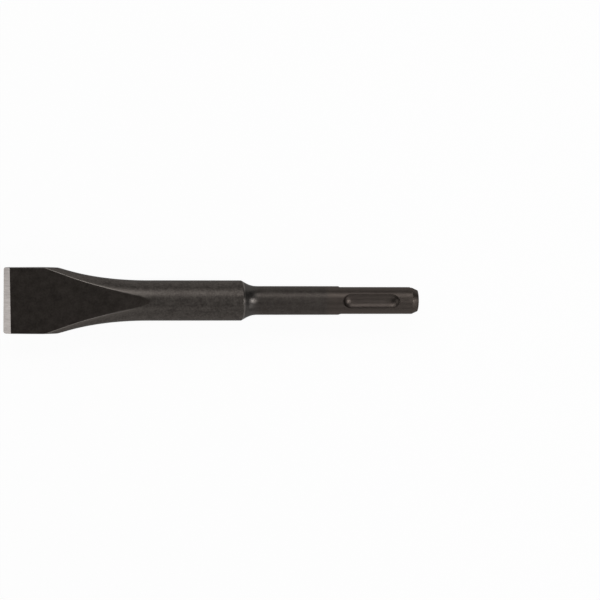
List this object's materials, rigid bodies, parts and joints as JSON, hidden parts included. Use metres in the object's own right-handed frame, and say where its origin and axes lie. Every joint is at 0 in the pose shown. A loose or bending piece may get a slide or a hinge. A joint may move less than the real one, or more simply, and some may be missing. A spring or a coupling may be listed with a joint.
{
  "type": "flat chisel bit",
  "caption": "Forged steel flat chisel with a flared ground blade, a round body and a grooved quick-fit shank for a rotary hammer.",
  "frame": {"origin": "middle of the struck face at the tail end of the shank", "axes": "+X along the bar, out of the tail, so the cutting edge is at -X; +Y along the cutting edge; the two broad flats of the blade face +Z and -Z"},
  "size_m": [0.145, 0.0228, 0.014],
  "materials": {
    "forged_steel": "dark hardened and blasted forging, brighter on the ground bevels and the shank"
  },
  "bodies": {
    "root": {"chisel": "forged_steel"}
  },
  "joints": []
}
